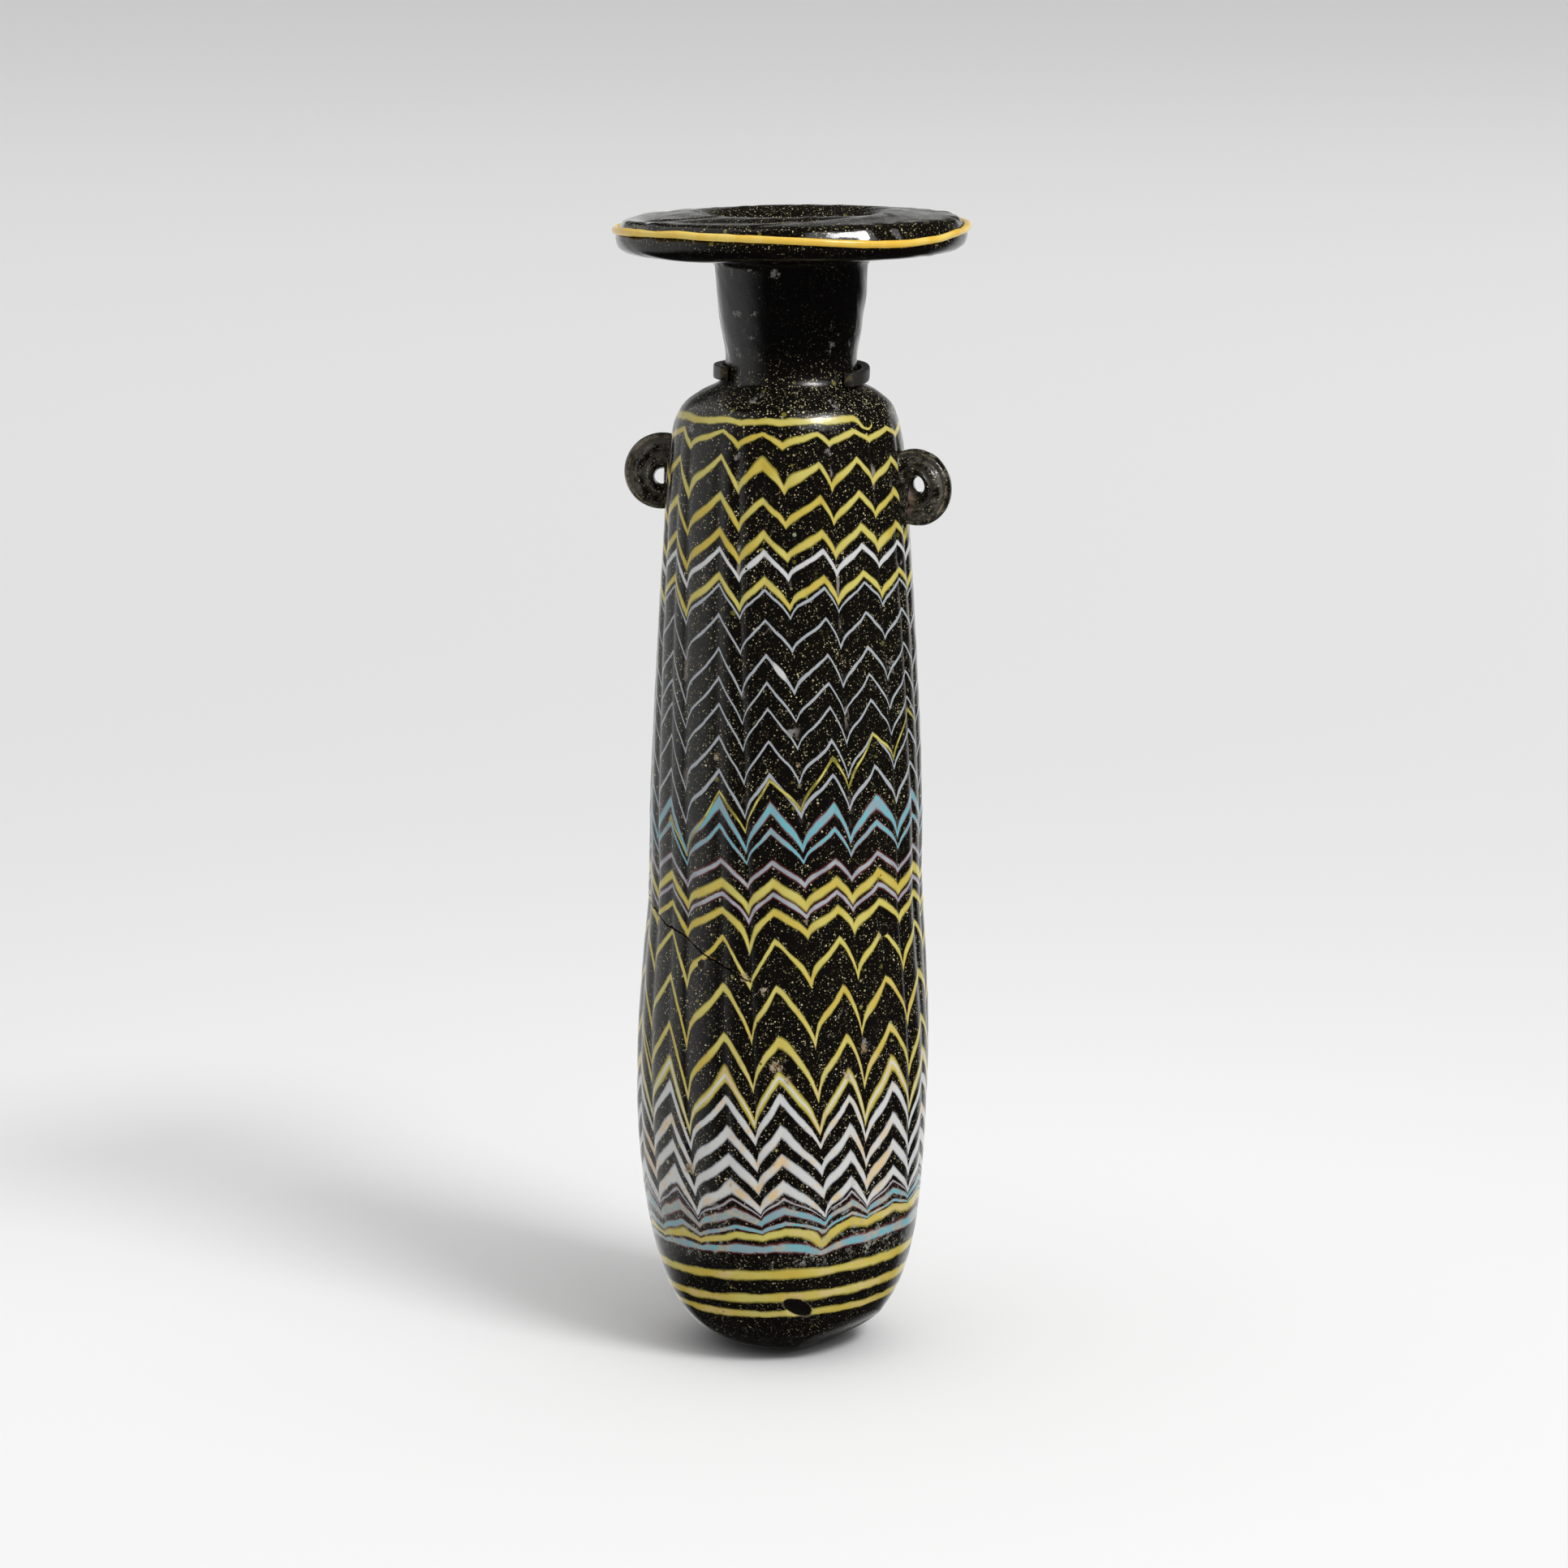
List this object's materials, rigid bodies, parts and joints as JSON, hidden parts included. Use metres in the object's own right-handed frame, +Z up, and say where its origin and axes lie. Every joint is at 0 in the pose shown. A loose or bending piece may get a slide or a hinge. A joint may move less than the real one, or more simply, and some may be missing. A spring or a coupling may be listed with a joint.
{
  "type": "core-formed glass alabastron on a neck-clip stand",
  "caption": "Tall narrow dark glass perfume bottle with a wide disk rim, ring handles and combed zigzag threads, held upright by a slim black clip, rod and foot.",
  "frame": {"origin": "centre of the flat spot under the bottle, on the surface it stands on", "axes": "+Z up along the bottle, -Y towards the viewed side, +X to the viewer's right"},
  "size_m": [0.0522, 0.0831, 0.1702],
  "materials": {
    "threaded_glass": "near-black opaque glass with combed yellow, white and turquoise threads, glossy with fine specks",
    "blackened_brass": "black paint over brass, satin, worn to brass at the cut ends"
  },
  "bodies": {
    "root": {"bottle": "threaded_glass", "neck_clip": "blackened_brass", "stand_rod": "blackened_brass", "stand_foot": "blackened_brass"}
  },
  "joints": []
}
